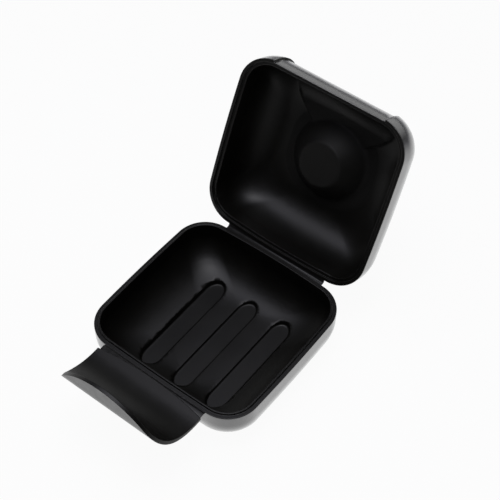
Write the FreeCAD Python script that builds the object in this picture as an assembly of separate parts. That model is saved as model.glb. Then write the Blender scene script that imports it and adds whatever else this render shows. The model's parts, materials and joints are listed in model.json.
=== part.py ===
import FreeCAD, Part
import math
import os

# Travel soap box: a moulded base tray, a domed lid and a wrap-over clasp, joined by two thin film hinges.
# Millimetres. Origin at the middle of the base's underside, +X to the right, +Y towards the lid's hinge, +Z up.
# The lid and the clasp are drawn closed and then swung to the open pose in which the box is stored.

# Plan of the box at its rim
box_width = 95.0
front_reach = 45.7
rear_reach = 46.5
corner_radius = 16.8
side_curve_radius = 1030.0
front_curve_radius = 1400.0
rear_curve_radius = 480.0
corner_limit_share = 0.94

# Base tray
base_height = 27.2
base_band = 6.5
base_sweep = 15.5
base_corner_growth_share = 0.45
base_inner_sweep = 23.5
base_side_dish = 7.0
base_inner_growth_share = -0.05
base_wall = 3.1
base_floor = 3.2
lip_inset = 2.0
lip_height = 1.0
lip_edge = 0.35
rim_edge = 0.25

# Drain grooves in the floor of the base
groove_count = 3
groove_pitch = 20.6
groove_width = 10.5
groove_depth = 1.2
groove_foot = 1.1
groove_end_length = 7.5
groove_front_reach = 32.0
groove_rear_reach = 30.2

# Lid
lid_height = 30.4
lid_band = 4.5
lid_inner_band = 8.5
lid_sweep = 22.2
lid_corner_growth_share = 0.1
lid_rim = 3.4
lid_top = 1.9
rim_gap = 0.2
lip_clearance = 0.3

# Finger dimple in the lid's top, under the clasp's tip
dimple_mouth_radius = 21.6
dimple_bottom_radius = 10.7
dimple_depth = 12.3
dimple_wall = 1.8
dimple_edge = 1.6

# Clasp, a curved tongue that lies in a pocket over the lid's front and top
clasp_width = 62.4
clasp_overlap = 33.3
clasp_thickness = 1.8
clasp_proud = 0.6
clasp_clearance = 0.25
clasp_side_clearance = 0.4
clasp_edge_rise = 0.6
clasp_edge_curve_radius = 180.0
pocket_backing = 1.7

# Film hinges
film_thickness = 0.4
film_bead_radius = 0.35
film_seam = 0.05
lid_axis_reach = 0.55
lid_film_length = 59.4
clasp_axis_reach = 0.5
clasp_film_length = 61.0

# Open pose and modelling steps
lid_open_angle = 115.0
clasp_open_angle = 94.0
wall_steps = 6
overrun = 4.0

# Levels and axes that follow from the sizes above
lid_rim_level = base_height + rim_gap
lid_top_level = lid_rim_level + lid_height
axis_level = base_height + rim_gap / 2
lid_axis = FreeCAD.Vector(0, rear_reach + lid_axis_reach, axis_level)
clasp_axis = FreeCAD.Vector(0, -front_reach - clasp_axis_reach, axis_level)
x_direction = FreeCAD.Vector(1, 0, 0)


def vector(x, y, z):
    return FreeCAD.Vector(x, y, z)


def line(start, end):
    return Part.LineSegment(start, end).toShape()


def arc(start, middle, end):
    return Part.Arc(start, middle, end).toShape()


def quarter_ellipse(start, corner, end):
    """Exact quarter of an ellipse, tangent to start-corner and corner-end."""
    curve = Part.BezierCurve()
    curve.setPoles([start, corner, end])
    curve.setWeight(2, math.sqrt(0.5))
    return curve.toShape()


def meeting_point(first, first_radius, second, second_radius, side):
    """Where two circles meet, on the chosen side of the line between their centres."""
    between = second.sub(first)
    span = between.Length
    along = (first_radius ** 2 - second_radius ** 2 + span ** 2) / (2 * span)
    across = math.sqrt(first_radius ** 2 - along ** 2)
    step = between.multiply(1 / span)
    return first + step * along + vector(-step.y, step.x, 0) * (across * side)


def rim_outline(inset, corner, level, side_dish=0):
    """Closed outline of the box at one level: four slightly bowed sides and four round corners."""
    half = box_width / 2 - inset - side_dish
    front = front_reach - inset
    rear = rear_reach - inset
    corner = min(corner, corner_limit_share * min(half, front, rear))
    right_centre = vector(half - side_curve_radius, 0, 0)
    rear_centre = vector(0, rear - rear_curve_radius, 0)
    front_centre = vector(0, front_curve_radius - front, 0)
    inner_side = side_curve_radius - corner
    rear_corner = meeting_point(right_centre, inner_side, rear_centre, rear_curve_radius - corner, -1)
    if rear_corner.x < 0 or rear_corner.y < 0:
        rear_corner = meeting_point(right_centre, inner_side, rear_centre, rear_curve_radius - corner, 1)
    front_corner = meeting_point(right_centre, inner_side, front_centre, front_curve_radius - corner, 1)
    if front_corner.x < 0 or front_corner.y > 0:
        front_corner = meeting_point(right_centre, inner_side, front_centre, front_curve_radius - corner, -1)

    def corner_points(centre, bow_centre):
        from_side = centre.sub(right_centre).normalize()
        from_bow = centre.sub(bow_centre).normalize()
        between = (from_side + from_bow).normalize()
        return [centre + from_side * corner, centre + between * corner, centre + from_bow * corner]

    rear_points = corner_points(rear_corner, rear_centre)
    front_points = corner_points(front_corner, front_centre)

    def mirrored(point):
        return vector(-point.x, point.y, 0)

    def lifted(point):
        return vector(point.x, point.y, level)

    right_middle = vector(half, 0, 0)
    stretches = [
        [front_points[0], right_middle, rear_points[0]],
        rear_points,
        [rear_points[2], vector(0, rear, 0), mirrored(rear_points[2])],
        [mirrored(point) for point in reversed(rear_points)],
        [mirrored(rear_points[0]), mirrored(right_middle), mirrored(front_points[0])],
        [mirrored(point) for point in front_points],
        [mirrored(front_points[2]), vector(0, -front, 0), front_points[2]],
        list(reversed(front_points)),
    ]
    return Part.Wire([arc(*[lifted(point) for point in stretch]) for stretch in stretches])


def rim_prism(inset, bottom, top):
    """Upright block with the box's outline, its corners concentric with the rim's."""
    outline = rim_outline(inset, corner_radius - inset, bottom)
    return Part.Face(outline).extrude(vector(0, 0, top - bottom))


def bowl(rim_level, direction, wall, band, sweep, fall, growth_share, rim_overrun, side_dish=0):
    """Solid bowl: a straight band from the rim, then walls that sweep in by a quarter ellipse to a flat."""
    band_level = rim_level + direction * band
    outlines = []
    for step in range(wall_steps + 1):
        turn = math.pi / 2 * step / wall_steps
        outer_inset = sweep * (1 - math.cos(turn))
        shell = wall * math.cos(turn)
        corner = corner_radius + growth_share * outer_inset - shell
        level = band_level + direction * fall * math.sin(turn)
        dish = side_dish * (1 - math.cos(turn))
        outlines.append(rim_outline(outer_inset + shell, corner, level, dish))
    swept = Part.makeLoft(outlines, True, False)
    past_rim = rim_level - direction * rim_overrun
    upright = rim_prism(wall, min(band_level, past_rim), max(band_level, past_rim))
    return swept.fuse(upright).removeSplitter()


def across_x(points_to_edges, length):
    """Face drawn in the Y-Z plane, drawn out to both sides of the middle."""
    face = Part.Face(Part.Wire(points_to_edges))
    face.translate(vector(-length / 2, 0, 0))
    return face.extrude(vector(length, 0, 0))


def clasp_plan(side_gap):
    """Upright block with the plan of the clasp's tongue: half an ellipse on the hinge line."""
    half = clasp_width / 2 + side_gap
    tip = clasp_axis.y + clasp_overlap + side_gap
    ahead = clasp_axis.y - overrun
    bottom = base_height - overrun
    height = lid_top_level + overrun - bottom
    left_start = vector(-half, clasp_axis.y, bottom)
    right_start = vector(half, clasp_axis.y, bottom)
    tip_point = vector(0, tip, bottom)
    outline = Part.Wire([
        line(vector(-half, ahead, bottom), left_start),
        quarter_ellipse(left_start, vector(-half, tip, bottom), tip_point),
        quarter_ellipse(tip_point, vector(half, tip, bottom), right_start),
        line(right_start, vector(half, ahead, bottom)),
        line(vector(half, ahead, bottom), vector(-half, ahead, bottom)),
    ])
    return Part.Face(outline).extrude(vector(0, 0, height))


# The clasp's section: straight up the lid's front, then over to the lid's top
section_middle_y = lid_sweep - front_reach
section_middle_z = lid_rim_level + lid_band
clasp_inner_sweep = lid_sweep + clasp_proud - clasp_thickness
clasp_inner_rise = lid_height - lid_band - clasp_thickness


def section_edges(depth, bottom, end_y):
    """Edges of the clasp's inner face, set back by depth, from the bottom up to the top at end_y."""
    front_y = section_middle_y - clasp_inner_sweep + depth
    top_z = section_middle_z + clasp_inner_rise - depth
    foot = vector(0, front_y, bottom)
    bend_start = vector(0, front_y, section_middle_z)
    bend_end = vector(0, section_middle_y, top_z)
    edges = [
        line(foot, bend_start),
        quarter_ellipse(bend_start, vector(0, front_y, top_z), bend_end),
        line(bend_end, vector(0, end_y, top_z)),
    ]
    return edges, foot, vector(0, end_y, top_z)


def outside_section(depth, side_gap):
    """Everything outside the clasp's inner face, set back by depth, within the clasp's plan."""
    bottom = base_height - overrun
    top = lid_top_level + overrun
    ahead = clasp_axis.y - overrun
    end_y = clasp_axis.y + clasp_overlap + side_gap + overrun
    edges, foot, end = section_edges(depth, bottom, end_y)
    edges = edges + [
        line(end, vector(0, end_y, top)),
        line(vector(0, end_y, top), vector(0, ahead, top)),
        line(vector(0, ahead, top), vector(0, ahead, bottom)),
        line(vector(0, ahead, bottom), foot),
    ]
    length = clasp_width + 2 * (side_gap + overrun)
    return across_x(edges, length).common(clasp_plan(side_gap))


def hinge_edge_cylinder(gap):
    """Large cylinder whose lowest line gives the clasp's hinge side its shallow arch."""
    radius = clasp_edge_curve_radius
    centre_level = axis_level + clasp_edge_rise + radius
    start = vector(0, clasp_axis.y - overrun, centre_level)
    length = clasp_overlap + 2 * overrun
    return Part.makeCylinder(radius + gap, length, start, vector(0, 1, 0))


def edges_at(shape, level):
    """Edges of a shape that lie flat at one level."""
    near = [edge for edge in shape.Edges if abs(edge.BoundBox.ZMin - level) < film_seam]
    return [edge for edge in near if abs(edge.BoundBox.ZMax - level) < film_seam]


def make_base():
    fall = base_height - base_band
    inner_fall = fall - base_floor
    inner_share = base_inner_growth_share
    outer = bowl(base_height, -1, 0, base_band, base_sweep, fall, base_corner_growth_share, 0)
    inner = bowl(
        base_height, -1, base_wall, base_band, base_inner_sweep, inner_fall, inner_share, overrun, base_side_dish
    )
    lip = rim_prism(lip_inset, base_height - lip_height, base_height + lip_height)
    tray = outer.fuse(lip).cut(inner).removeSplitter()
    tray = tray.makeFillet(lip_edge, edges_at(tray, base_height + lip_height))
    tray = tray.makeFillet(rim_edge, edges_at(tray, base_height))
    for number in range(groove_count):
        place = (number - (groove_count - 1) / 2) * groove_pitch
        tray = tray.cut(make_groove(place))
    return tray.removeSplitter()


def make_groove(place):
    """Cutter for one drain groove: a flat bottom with a rounded foot, and ends that are half an ellipse."""
    left = place - groove_width / 2
    right = place + groove_width / 2
    rear_start = groove_rear_reach - groove_end_length
    front_start = groove_end_length - groove_front_reach
    bottom = base_floor - groove_depth
    rear_tip = vector(place, groove_rear_reach, bottom)
    front_tip = vector(place, -groove_front_reach, bottom)
    outline = Part.Wire([
        line(vector(left, front_start, bottom), vector(left, rear_start, bottom)),
        quarter_ellipse(vector(left, rear_start, bottom), vector(left, groove_rear_reach, bottom), rear_tip),
        quarter_ellipse(rear_tip, vector(right, groove_rear_reach, bottom), vector(right, rear_start, bottom)),
        line(vector(right, rear_start, bottom), vector(right, front_start, bottom)),
        quarter_ellipse(vector(right, front_start, bottom), vector(right, -groove_front_reach, bottom), front_tip),
        quarter_ellipse(front_tip, vector(left, -groove_front_reach, bottom), vector(left, front_start, bottom)),
    ])
    block = Part.Face(outline).extrude(vector(0, 0, base_height / 2 - bottom))
    return block.makeFillet(groove_foot, edges_at(block, bottom))


def make_dimple():
    """The dimple's recess, and the boss that carries it under the lid's top."""
    slope = (dimple_mouth_radius - dimple_bottom_radius) / dimple_depth
    spread = dimple_wall * math.sqrt(1 + slope ** 2)
    boss_depth = dimple_depth + dimple_wall
    boss_bottom_radius = dimple_bottom_radius - slope * dimple_wall + spread
    boss_top_radius = dimple_mouth_radius + spread
    boss_floor = lid_top_level - boss_depth
    boss = Part.makeCone(boss_bottom_radius, boss_top_radius, boss_depth, vector(0, 0, boss_floor))
    rim = [edge for edge in boss.Edges if abs(edge.BoundBox.ZMax - boss_floor) < film_seam]
    boss = boss.makeFillet(dimple_edge, rim)
    recess_floor = lid_top_level - dimple_depth
    past_mouth_radius = dimple_mouth_radius + slope * overrun
    recess = Part.makeCone(dimple_bottom_radius, past_mouth_radius, dimple_depth + overrun, vector(0, 0, recess_floor))
    return boss, recess


def make_lid():
    growth_share = lid_corner_growth_share
    inner_fall = lid_height - lid_inner_band - lid_top
    outer = bowl(lid_rim_level, 1, 0, lid_band, lid_sweep, lid_height - lid_band, growth_share, 0)
    inner = bowl(lid_rim_level, 1, lid_rim, lid_inner_band, lid_sweep, inner_fall, growth_share, overrun)
    rabbet_top = base_height + lip_height + lip_clearance
    rabbet = rim_prism(lip_inset - lip_clearance, lid_rim_level - overrun, rabbet_top)
    backing = outside_section(clasp_clearance + pocket_backing, clasp_side_clearance + pocket_backing)
    pocket = outside_section(clasp_clearance, clasp_side_clearance)
    boss, recess = make_dimple()
    shell = outer.cut(inner)
    shell = shell.fuse(backing.common(outer))
    shell = shell.fuse(boss)
    shell = shell.cut(pocket)
    shell = shell.cut(recess)
    shell = shell.cut(rabbet)
    return shell.removeSplitter()


def make_clasp():
    bottom = base_height
    end_y = clasp_axis.y + clasp_overlap + overrun
    inner_edges, inner_foot, inner_end = section_edges(0, bottom, end_y)
    outer_edges, outer_foot, outer_end = section_edges(-clasp_thickness, bottom, end_y)
    edges = inner_edges + [line(inner_end, outer_end)] + outer_edges + [line(outer_foot, inner_foot)]
    sheet = across_x(Part.__sortEdges__(edges), clasp_width + 2 * overrun)
    return sheet.common(clasp_plan(0)).common(hinge_edge_cylinder(0)).removeSplitter()


def make_lid_film():
    """Two thin slivers from the rear rims to the hinge line, joined by a fine bead along it."""
    start_x = -lid_film_length / 2
    start_y = rear_reach - overrun
    depth = lid_axis.y - start_y
    slab = [lid_film_length, depth, film_thickness]
    base_leaf = Part.makeBox(*slab, vector(start_x, start_y, base_height - film_thickness))
    base_leaf = base_leaf.cut(rim_prism(0, base_height - overrun, base_height + overrun))
    lid_leaf = Part.makeBox(*slab, vector(start_x, start_y, lid_rim_level))
    lid_leaf = lid_leaf.cut(rim_prism(-film_seam, lid_rim_level - overrun, lid_rim_level + overrun))
    lid_leaf.rotate(lid_axis, x_direction, -lid_open_angle)
    bead_start = vector(start_x, lid_axis.y, lid_axis.z)
    bead = Part.makeCylinder(film_bead_radius, lid_film_length, bead_start, x_direction)
    return base_leaf.fuse(bead).fuse(lid_leaf).removeSplitter()


def make_clasp_film():
    """Two thin slivers from the front rim and the clasp's arched edge, joined along the hinge line."""
    start_x = -clasp_film_length / 2
    base_leaf = Part.makeBox(
        clasp_film_length,
        clasp_axis_reach + overrun,
        film_thickness,
        vector(start_x, clasp_axis.y, base_height - film_thickness),
    )
    base_leaf = base_leaf.cut(rim_prism(0, base_height - overrun, base_height + overrun))
    edge_drop = clasp_edge_curve_radius - math.sqrt(clasp_edge_curve_radius ** 2 - (clasp_width / 2) ** 2)
    clasp_leaf = Part.makeBox(
        clasp_film_length,
        film_thickness,
        clasp_edge_rise + edge_drop,
        vector(start_x, clasp_axis.y, axis_level),
    )
    clasp_leaf = clasp_leaf.cut(hinge_edge_cylinder(film_seam))
    clasp_leaf.rotate(clasp_axis, x_direction, clasp_open_angle)
    bead_start = vector(start_x, clasp_axis.y, clasp_axis.z)
    bead = Part.makeCylinder(film_bead_radius, clasp_film_length, bead_start, x_direction)
    return base_leaf.fuse(bead).fuse(clasp_leaf).removeSplitter()


def write_node(name, shape):
    solids = shape.Solids
    shape = solids[0] if len(solids) == 1 else shape
    shape.exportStep("parts/" + name + ".step")
    middle = shape.CenterOfGravity if len(solids) == 1 else shape.BoundBox.Center
    print(name, "solids", len(solids), "valid", shape.isValid(), "volume", round(shape.Volume, 1), "middle", middle)


os.makedirs("parts", exist_ok=True)
base_tray = make_base()
lid_shell = make_lid()
lid_shell.rotate(lid_axis, x_direction, -lid_open_angle)
clasp_flap = make_clasp()
clasp_flap.rotate(clasp_axis, x_direction, clasp_open_angle)
write_node("base_tray", base_tray)
write_node("lid_shell", lid_shell)
write_node("clasp_flap", clasp_flap)
write_node("lid_hinge_film", make_lid_film())
write_node("clasp_hinge_film", make_clasp_film())
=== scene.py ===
import json
import math

import bpy
from mathutils import Matrix, Vector

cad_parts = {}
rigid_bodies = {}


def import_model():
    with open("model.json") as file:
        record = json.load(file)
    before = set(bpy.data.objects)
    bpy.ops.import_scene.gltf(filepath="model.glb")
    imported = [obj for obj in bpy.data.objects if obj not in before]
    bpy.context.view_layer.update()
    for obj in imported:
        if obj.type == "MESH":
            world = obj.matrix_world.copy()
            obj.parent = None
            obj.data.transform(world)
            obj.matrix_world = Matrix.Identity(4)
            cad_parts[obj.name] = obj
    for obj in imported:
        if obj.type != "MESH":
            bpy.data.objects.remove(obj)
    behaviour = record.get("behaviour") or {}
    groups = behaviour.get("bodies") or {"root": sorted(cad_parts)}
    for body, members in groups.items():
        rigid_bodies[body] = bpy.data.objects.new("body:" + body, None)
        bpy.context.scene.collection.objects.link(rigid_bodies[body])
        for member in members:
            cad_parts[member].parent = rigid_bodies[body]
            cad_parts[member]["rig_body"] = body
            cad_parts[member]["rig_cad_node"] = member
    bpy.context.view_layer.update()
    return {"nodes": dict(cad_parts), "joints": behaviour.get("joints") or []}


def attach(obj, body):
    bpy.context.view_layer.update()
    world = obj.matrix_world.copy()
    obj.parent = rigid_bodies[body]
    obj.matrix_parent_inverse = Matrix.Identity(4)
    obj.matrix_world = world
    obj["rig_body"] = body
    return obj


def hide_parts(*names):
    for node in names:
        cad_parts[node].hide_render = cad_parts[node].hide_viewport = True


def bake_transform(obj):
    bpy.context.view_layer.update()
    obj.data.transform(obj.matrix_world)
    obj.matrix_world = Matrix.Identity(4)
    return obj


# Travel soap box of black moulded plastic, standing open: a grooved base tray, a domed lid and a clasp.
# Metres, in the frame's own axes: +X right, +Y towards the lid's hinge, +Z up, the underside at Z = 0.

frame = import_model()
bpy.ops.object.select_all(action="DESELECT")

MM = 0.001

# The photograph's camera, as angles round the object and a point that it looks at
camera_azimuth = math.radians(37.89)
camera_elevation = math.radians(51.66)
camera_view_angle = math.radians(22.33)
camera_distance = 633.6 * MM
camera_target = Vector((-11.34, 41.33, 27.25)) * MM
camera_nearest = 0.01
camera_furthest = 50

# Meshes of the mouldings
merge_distance = 0.001 * MM
flat_angle = math.radians(0.05)
smooth_angle = math.radians(40)
edge_angle = math.radians(50)
edge_segments = 2
clasp_edge = 0.35 * MM

# Where one finish of a moulding ends and the next begins
facing_depth = 20 * MM
far_away = 1000 * MM
rim_margin = 0.3 * MM
deep_margin = 4.5 * MM
boss_reach = 25 * MM
outer_face_limit = -0.25

# Hinge webs
web_thickness = 0.34 * MM
web_edge = 0.1 * MM
web_drop = 0.32 * MM
web_bend_reach = 0.45 * MM
web_bend_steps = 6
lid_web_reach = 2.05 * MM
lid_web_length = 59.4 * MM
clasp_web_reach = 1.6 * MM
clasp_web_far_reach = 3.6 * MM
clasp_web_middle = 0.2 * MM
clasp_web_length = 61.0 * MM

# Satin inner faces. Their colour is darker than the outer faces' of the same plastic: painted shade in the
# hollows
shaded_inside_colour = (0.0026, 0.0024, 0.0018, 1)
shaded_inside_dusty_colour = (0.0037, 0.0034, 0.0026, 1)
inside_grain_size = 0.28 * MM
inside_grain_height = 0.05 * MM
inside_haze_size = 16 * MM
inside_dullness = 0.365
inside_grain_dulling = 0.05
inside_haze_dulling = 0.05
boss_dullness = 0.58
rim_softness = 0.5 * MM
deep_softness = 2.2 * MM
boss_softness = 1.4 * MM

# Smoother outer faces. Their colour is lighter than the inner faces' of the same plastic: painted light on
# the outer walls
lit_outside_colour = (0.0105, 0.0104, 0.0106, 1)
lit_outside_dusty_colour = (0.0135, 0.0133, 0.0133, 1)
outside_wave_size = 7 * MM
outside_wave_height = 0.08 * MM
outside_haze_size = 11 * MM
outside_dullness = 0.28
outside_haze_dulling = 0.07
outer_softness = 1.5 * MM

# The clasp's grained outer face
grip_grain_size = 0.7 * MM
grip_grain_height = 0.1 * MM
grip_haze_size = 5 * MM
grip_dullness = 0.36
grip_grain_dulling = 0.10
grip_haze_dulling = 0.06

# Hinge films
web_colour = (0.006, 0.0058, 0.0058, 1)
web_flexed_colour = (0.011, 0.0106, 0.0106, 1)
web_streak_size = 2.5 * MM
web_streak_height = 0.03 * MM
web_dullness = 0.40
web_streak_dulling = 0.08

# Rays that feel for a corner where a finish softens it
softening_samples = 8

# Floor, backdrop and lamps
white = (1, 1, 1, 1)
paper_colour = (0.92, 0.92, 0.92, 1)
paper_white_share = 0.95
floor_radius = 6
floor_corners = 96
floor_drop = 0.2 * MM
floor_shine_fade = (0.25, 0.6)
room_strength = 0.03
backdrop_direction = (-0.6, 0.78, 0.0)
backdrop_side_fade = (0.1, 0.8)
backdrop_top_fade = (0.2, 0.6)
lamp_aim = Vector((0, 0.02, 0))
overhead_place = Vector((-0.06, -0.05, 0.80))
overhead_width = 0.7
overhead_power = 3.4
overhead_colour = (0.89, 0.89, 1.0)
middle_place = Vector((0.08, -0.05, 0.80))
middle_width = 0.2
middle_power = 0.9
middle_colour = (1.0, 1.0, 1.0)


# Shader maths

class Wire:
    """One output of a material's nodes. Sums and products of wires add their Math nodes."""

    def __init__(self, shop, socket):
        self.shop = shop
        self.socket = socket

    def maths(self, operation, first, second):
        return self.shop.node("ShaderNodeMath", {"operation": operation}, {0: first, 1: second})

    def __add__(self, other):
        return self.maths("ADD", self, other)

    def __radd__(self, other):
        return self.maths("ADD", other, self)

    def __rsub__(self, other):
        return self.maths("SUBTRACT", other, self)

    def __mul__(self, other):
        return self.maths("MULTIPLY", self, other)

    def __rmul__(self, other):
        return self.maths("MULTIPLY", other, self)

    def at_most(self, other):
        return self.maths("MINIMUM", self, other)

    def step(self, low, high):
        """A smooth step from 0 at low to 1 at high."""
        settings = {"interpolation_type": "SMOOTHSTEP"}
        inputs = {"Value": self, "From Min": low, "From Max": high}
        return self.shop.node("ShaderNodeMapRange", settings, inputs)


class Shop:
    """The nodes of one material or world."""

    def __init__(self, owner):
        owner.use_nodes = True
        self.tree = owner.node_tree
        self.tree.nodes.clear()

    def node(self, kind, settings=None, inputs=None, output=0):
        """A new node: its settings come first, then the values or links of its sockets."""
        made = self.tree.nodes.new(kind)
        for name, value in (settings or {}).items():
            setattr(made, name, value)
        for name, value in (inputs or {}).items():
            if isinstance(value, Wire):
                self.tree.links.new(value.socket, made.inputs[name])
            else:
                made.inputs[name].default_value = value
        return Wire(self, made.outputs[output]) if len(made.outputs) else None

    def blend_colours(self, factor, first, second):
        settings = {"data_type": "RGBA"}
        return self.node("ShaderNodeMix", settings, {0: factor, 6: first, 7: second}, output=2)

    def place(self):
        return self.node("ShaderNodeTexCoord", output="Object")

    def noise(self, place, size, detail):
        """Noise from 0 to 1 with lumps of about the given size."""
        return self.node("ShaderNodeTexNoise", None, {"Vector": place, "Scale": 1 / size, "Detail": detail})

    def relief(self, pattern, height, strength, softness=0.0):
        """A normal bumped by a pattern of the given height, with corners softened within a radius."""
        inputs = {"Strength": strength, "Distance": height, "Height": pattern}
        if softness:
            settings = {"samples": softening_samples}
            inputs["Normal"] = self.node("ShaderNodeBevel", settings, {"Radius": softness})
        return self.node("ShaderNodeBump", None, inputs)

    def plastic(self, colour, roughness, normal, gloss):
        """Ends the material in a plastic. gloss holds the sockets that are the same all over."""
        inputs = {"Base Color": colour, "Roughness": roughness, "Normal": normal}
        self.surface(self.node("ShaderNodeBsdfPrincipled", None, inputs | gloss))

    def background_rays(self, shine):
        """1 on rays from the camera, and shine on those that glossy or clear pieces send on."""
        camera_ray = self.node("ShaderNodeLightPath", output="Is Camera Ray")
        glossy_ray = self.node("ShaderNodeLightPath", output="Is Glossy Ray")
        clear_ray = self.node("ShaderNodeLightPath", output="Is Transmission Ray")
        return (camera_ray + (glossy_ray + clear_ray) * shine).at_most(1.0)

    def surface(self, shader, target="ShaderNodeOutputMaterial"):
        self.node(target, None, {"Surface": shader})


# Finishes

def satin_inside(name, softness, dullness):
    """The spark-eroded inner faces: a fine even grain that spreads reflections, and softened corners."""
    material = bpy.data.materials.new(name)
    shop = Shop(material)
    place = shop.place()
    grain = shop.noise(place, inside_grain_size, detail=3.0)
    haze = shop.noise(place, inside_haze_size, detail=3.0).step(low=0.35, high=0.75)
    # The inner faces' darker colour is painted shade: the same plastic as the outer faces, darkened for the
    # hollows
    colour = shop.blend_colours(haze, shaded_inside_colour, shaded_inside_dusty_colour)
    roughness = dullness + inside_haze_dulling * haze + inside_grain_dulling * grain
    normal = shop.relief(grain, inside_grain_height, strength=0.12, softness=softness)
    shop.plastic(colour, roughness, normal, {"Specular IOR Level": 0.32})
    return material


def polished_outside():
    """The smoother outer faces, with the slight waviness of a moulded wall and faint handling haze."""
    material = bpy.data.materials.new("polished_outside")
    shop = Shop(material)
    place = shop.place()
    wave = shop.noise(place, outside_wave_size, detail=1.0)
    haze = shop.noise(place, outside_haze_size, detail=4.0).step(low=0.4, high=0.8)
    # The outer faces' lighter colour is painted light: the same plastic as the inner faces, lightened on
    # the outer walls
    colour = shop.blend_colours(haze, lit_outside_colour, lit_outside_dusty_colour)
    roughness = outside_dullness + outside_haze_dulling * haze
    normal = shop.relief(wave, outside_wave_height, strength=0.10, softness=outer_softness)
    shop.plastic(colour, roughness, normal, {"IOR": 1.75, "Coat Weight": 1.0, "Coat Roughness": 0.2})
    return material


def grained_grip():
    """The clasp's outer face, where the fingers push: a coarser grain that breaks up its reflections."""
    material = bpy.data.materials.new("grained_grip")
    shop = Shop(material)
    place = shop.place()
    grain = shop.noise(place, grip_grain_size, detail=2.0)
    haze = shop.noise(place, grip_haze_size, detail=3.0).step(low=0.35, high=0.75)
    # The clasp's outer face takes the same lighter outer colour: painted light
    colour = shop.blend_colours(haze, lit_outside_colour, lit_outside_dusty_colour)
    roughness = grip_dullness + grip_haze_dulling * haze + grip_grain_dulling * grain
    normal = shop.relief(grain, grip_grain_height, strength=0.35)
    shop.plastic(colour, roughness, normal, {"IOR": 1.65, "Coat Weight": 0.3, "Coat Roughness": 0.3})
    return material


def flexed_web():
    """The hinge films: the same plastic, thinned, stretched smooth and a little paler where it folds."""
    material = bpy.data.materials.new("flexed_web")
    shop = Shop(material)
    streak = shop.noise(shop.place(), web_streak_size, detail=3.0).step(low=0.4, high=0.7)
    colour = shop.blend_colours(streak, web_colour, web_flexed_colour)
    roughness = web_dullness + web_streak_dulling * streak
    normal = shop.relief(streak, web_streak_height, strength=0.1)
    shop.plastic(colour, roughness, normal, {"Specular IOR Level": 0.35})
    return material


# Tools for the pieces

def turned(point, joint, degrees):
    """A point turned about a joint's axis."""
    pivot = Vector(joint["pos_m"])
    turn = Matrix.Rotation(math.radians(degrees), 3, Vector(joint["axis"]))
    return pivot + turn @ (Vector(point) - pivot)


def beside(axis, y, z):
    return axis + Vector((0, y, z))


def select_alone(piece):
    bpy.ops.object.select_all(action="DESELECT")
    piece.select_set(True)
    bpy.context.view_layer.objects.active = piece


def apply_all(piece):
    select_alone(piece)
    for modifier in list(piece.modifiers):
        bpy.ops.object.modifier_apply(modifier=modifier.name)


def round_edges(piece, width):
    edge = piece.modifiers.new("edge", "BEVEL")
    edge.width = width
    edge.segments = edge_segments
    edge.limit_method = "ANGLE"
    edge.angle_limit = edge_angle
    apply_all(piece)


# Mouldings

def give_finishes(piece, facing, rim, finishes):
    """Faces turned away from the hollow get the outer finish, and the others one by their depth."""
    piece.data.materials.clear()
    slots = []
    for material in finishes:
        if piece.data.materials.find(material.name) < 0:
            piece.data.materials.append(material)
        slots.append(piece.data.materials.find(material.name))
    rim_slot, outer_slot, deep_slot, boss_slot = slots
    opening = (facing - rim).normalized()
    for face in piece.data.polygons:
        turned_away = face.normal.dot((facing - face.center).normalized()) < outer_face_limit
        depth = (rim - face.center).dot(opening)
        from_middle = (face.center + opening * depth - rim).length
        if turned_away and depth > rim_margin:
            face.material_index = outer_slot
        elif depth < deep_margin:
            face.material_index = rim_slot
        else:
            face.material_index = deep_slot if from_middle > boss_reach else boss_slot


def moulded_copy(name, node, body, facing, rim, finishes, merge_flats=True, rounding=0.0):
    """A merged and smoothly shaded copy of a moulding, with its finishes.

    facing is a point in front of the hollow, and rim the middle of the plane that the hollow opens at.
    finishes are those of the rim, the outer faces, the deep inner faces and the boss in the middle.
    """
    select_alone(frame["nodes"][node])
    bpy.ops.object.duplicate()
    piece = bpy.context.object
    piece.name = name
    piece.data.name = name
    world = piece.matrix_world.copy()
    piece.parent = None
    piece.matrix_world = world
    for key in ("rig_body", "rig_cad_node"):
        del piece[key]
    bpy.ops.object.mode_set(mode="EDIT")
    bpy.ops.mesh.select_all(action="SELECT")
    bpy.ops.mesh.remove_doubles(threshold=merge_distance)
    if merge_flats:
        bpy.ops.mesh.dissolve_limited(angle_limit=flat_angle)
    bpy.ops.object.mode_set(mode="OBJECT")
    if rounding:
        round_edges(piece, rounding)
    bpy.ops.object.shade_smooth_by_angle(angle=smooth_angle)
    give_finishes(piece, facing, rim, finishes)
    weighted = piece.modifiers.new("even_normals", "WEIGHTED_NORMAL")
    weighted.mode = "FACE_AREA_WITH_ANGLE"
    weighted.keep_sharp = True
    apply_all(piece)
    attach(piece, body)
    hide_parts(node)


joints = {joint["name"]: joint for joint in frame["joints"]}
lid_joint = joints["lid_hinge"]
clasp_joint = joints["clasp_hinge"]
lid_axis = Vector(lid_joint["pos_m"])
clasp_axis = Vector(clasp_joint["pos_m"])
lid_opening = -lid_joint["range_deg"][0]
clasp_opening = -clasp_joint["range_deg"][0]

rim_finish = satin_inside("satin_rim", rim_softness, inside_dullness)
deep_finish = satin_inside("satin_inside", deep_softness, inside_dullness)
boss_finish = satin_inside("satin_boss", boss_softness, boss_dullness)
outer_finish = polished_outside()
base_finishes = [rim_finish, outer_finish, rim_finish, rim_finish]
lid_finishes = [rim_finish, outer_finish, deep_finish, boss_finish]
clasp_finishes = [rim_finish, grained_grip(), rim_finish, rim_finish]

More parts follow.
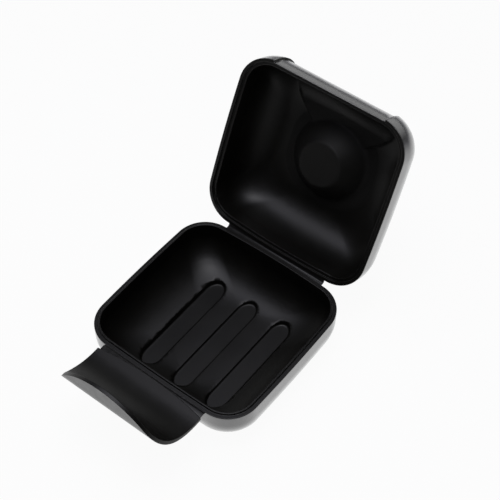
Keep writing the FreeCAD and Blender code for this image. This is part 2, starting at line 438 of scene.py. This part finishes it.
mouth = Vector((0, 0, lid_axis.z))
above_mouth = mouth + Vector((0, 0, facing_depth))
lid_mouth = turned(mouth, lid_joint, lid_opening)
below_mouth = turned(mouth - Vector((0, 0, facing_depth)), lid_joint, lid_opening)
clasp_mouth = turned(mouth, clasp_joint, clasp_opening)
behind_clasp = turned(mouth + Vector((0, far_away, -far_away)), clasp_joint, clasp_opening)
moulded_copy("base_moulding", "base_tray", "base", above_mouth, mouth, base_finishes, merge_flats=False)
moulded_copy("lid_moulding", "lid_shell", "lid", below_mouth, lid_mouth, lid_finishes)
moulded_copy(
    "clasp_moulding", "clasp_flap", "clasp", behind_clasp, clasp_mouth, clasp_finishes, rounding=clasp_edge
)


# Hinge webs

def hinge_web(name, node, path, length, material):
    """A thin web drawn along a path of points in the Y-Z plane, from one moulding to the other."""
    start = path[0]
    first = path[1]
    middle = (start + first) / 2
    bpy.ops.object.select_all(action="DESELECT")
    bpy.ops.mesh.primitive_plane_add(size=1, location=(0, 0, 0))
    piece = bpy.context.object
    piece.name = name
    piece.data.name = name
    bpy.ops.object.mode_set(mode="EDIT")
    bpy.ops.transform.resize(value=(length, (first - start).length, 1))
    bpy.ops.transform.translate(value=middle)
    bpy.ops.mesh.select_all(action="DESELECT")
    bpy.ops.object.mode_set(mode="OBJECT")
    reach = (first - start).normalized()
    for edge in piece.data.edges:
        corners = [piece.data.vertices[index].co for index in edge.vertices]
        edge.select = all((corner - middle).dot(reach) > 0 for corner in corners)
    bpy.ops.object.mode_set(mode="EDIT")
    bpy.ops.mesh.select_mode(type="EDGE")
    for near, far in zip(path[1:], path[2:]):
        bpy.ops.mesh.extrude_region_move(TRANSFORM_OT_translate={"value": far - near})
    bpy.ops.mesh.select_all(action="SELECT")
    bpy.ops.mesh.normals_make_consistent(inside=False)
    bpy.ops.object.mode_set(mode="OBJECT")
    wall = piece.modifiers.new("wall", "SOLIDIFY")
    wall.thickness = web_thickness
    wall.offset = 0
    apply_all(piece)
    round_edges(piece, web_edge)
    bpy.ops.object.shade_smooth_by_angle(angle=smooth_angle)
    piece.data.materials.append(material)
    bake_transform(piece)
    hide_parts(node)


def lid_web_path():
    """From inside the base's rear wall, round the hinge line in an even bend, to inside the lid's."""
    bend = math.radians(180 - lid_opening)
    radius = web_bend_reach / math.tan(bend / 2) + web_drop
    path = [beside(lid_axis, -lid_web_reach, -web_drop)]
    for step in range(web_bend_steps + 1):
        turn = bend * step / web_bend_steps
        along = radius * math.sin(turn) - web_bend_reach
        rise = radius * (1 - math.cos(turn)) - web_drop
        path.append(beside(lid_axis, along, rise))
    path.append(turned(beside(lid_axis, -lid_web_reach, web_drop), lid_joint, lid_opening))
    return path


def clasp_web_path():
    """From inside the base's front wall, up past the hinge line, to inside the clasp's arched edge."""
    foot = beside(clasp_axis, web_bend_reach, -web_drop)
    head = turned(beside(clasp_axis, clasp_web_middle, web_bend_reach), clasp_joint, clasp_opening)
    path = [beside(clasp_axis, clasp_web_reach, -web_drop)]
    for step in range(web_bend_steps + 1):
        share = step / web_bend_steps
        rise = share * share * (3 - 2 * share)
        path.append(Vector((0, foot.y + (head.y - foot.y) * share, foot.z + (head.z - foot.z) * rise)))
    end = beside(clasp_axis, clasp_web_middle, clasp_web_far_reach)
    path.append(turned(end, clasp_joint, clasp_opening))
    return path


web = flexed_web()
lid_path = lid_web_path()
hinge_web("lid_web", "lid_hinge_film", lid_path, lid_web_length, web)
clasp_path = clasp_web_path()
hinge_web("clasp_web", "clasp_hinge_film", clasp_path, clasp_web_length, web)


# Stage

def floor():
    """White paper that still takes the object's shadow."""
    bpy.ops.object.select_all(action="DESELECT")
    bpy.ops.mesh.primitive_circle_add(
        vertices=floor_corners, radius=floor_radius, fill_type="NGON", location=(0, 0, -floor_drop)
    )
    ground = bpy.context.object
    ground.name = "floor"
    material = bpy.data.materials.new("white_paper")
    shop = Shop(material)
    length = {"operation": "LENGTH"}
    from_middle = shop.node("ShaderNodeVectorMath", length, {0: shop.place()}, output="Value")
    seen = shop.background_rays(1 - from_middle.step(*floor_shine_fade))
    paper = shop.node("ShaderNodeBsdfDiffuse", None, {"Color": paper_colour})
    glow = shop.node("ShaderNodeEmission", None, {"Color": white, "Strength": 1.0})
    shop.surface(shop.node("ShaderNodeMixShader", None, {0: seen * paper_white_share, 1: paper, 2: glow}))
    ground.data.materials.append(material)


def surroundings():
    """A dim room, white where the camera sees it, with a white backdrop that glossy faces mirror."""
    world = bpy.data.worlds.new("studio")
    bpy.context.scene.world = world
    shop = Shop(world)
    direction = shop.node("ShaderNodeTexCoord", output="Generated")
    towards = {0: direction, 1: backdrop_direction}
    rear = shop.node("ShaderNodeVectorMath", {"operation": "DOT_PRODUCT"}, towards, output="Value")
    height = shop.node("ShaderNodeSeparateXYZ", None, {0: direction}, output="Z")
    backdrop = rear.step(*backdrop_side_fade) * (1 - height.step(*backdrop_top_fade))
    strength = room_strength + shop.background_rays(backdrop) * (1 - room_strength)
    light = shop.node("ShaderNodeBackground", None, {"Color": white, "Strength": strength})
    shop.surface(light, "ShaderNodeOutputWorld")


def softbox(name, place, width, power, colour):
    bpy.ops.object.select_all(action="DESELECT")
    bpy.ops.object.light_add(type="AREA", location=place)
    lamp = bpy.context.object
    lamp.name = name
    lamp.data.shape = "RECTANGLE"
    lamp.data.size = width
    lamp.data.size_y = width
    lamp.data.energy = power
    lamp.data.color = colour
    lamp.rotation_euler = (lamp_aim - place).to_track_quat("-Z", "Y").to_euler()


def camera():
    back = Vector((
        math.sin(camera_azimuth) * math.cos(camera_elevation),
        -math.cos(camera_azimuth) * math.cos(camera_elevation),
        math.sin(camera_elevation),
    ))
    bpy.ops.object.camera_add(location=camera_target + back * camera_distance)
    eye = bpy.context.object
    eye.name = "photo_camera"
    eye.rotation_euler = (-back).to_track_quat("-Z", "Y").to_euler()
    eye.data.sensor_fit = "AUTO"
    eye.data.angle = camera_view_angle
    eye.data.clip_start = camera_nearest
    eye.data.clip_end = camera_furthest
    bpy.context.scene.camera = eye


floor()
surroundings()
softbox("overhead", overhead_place, overhead_width, overhead_power, overhead_colour)
softbox("middle", middle_place, middle_width, middle_power, middle_colour)
camera()
bpy.context.scene.view_settings.view_transform = "Standard"
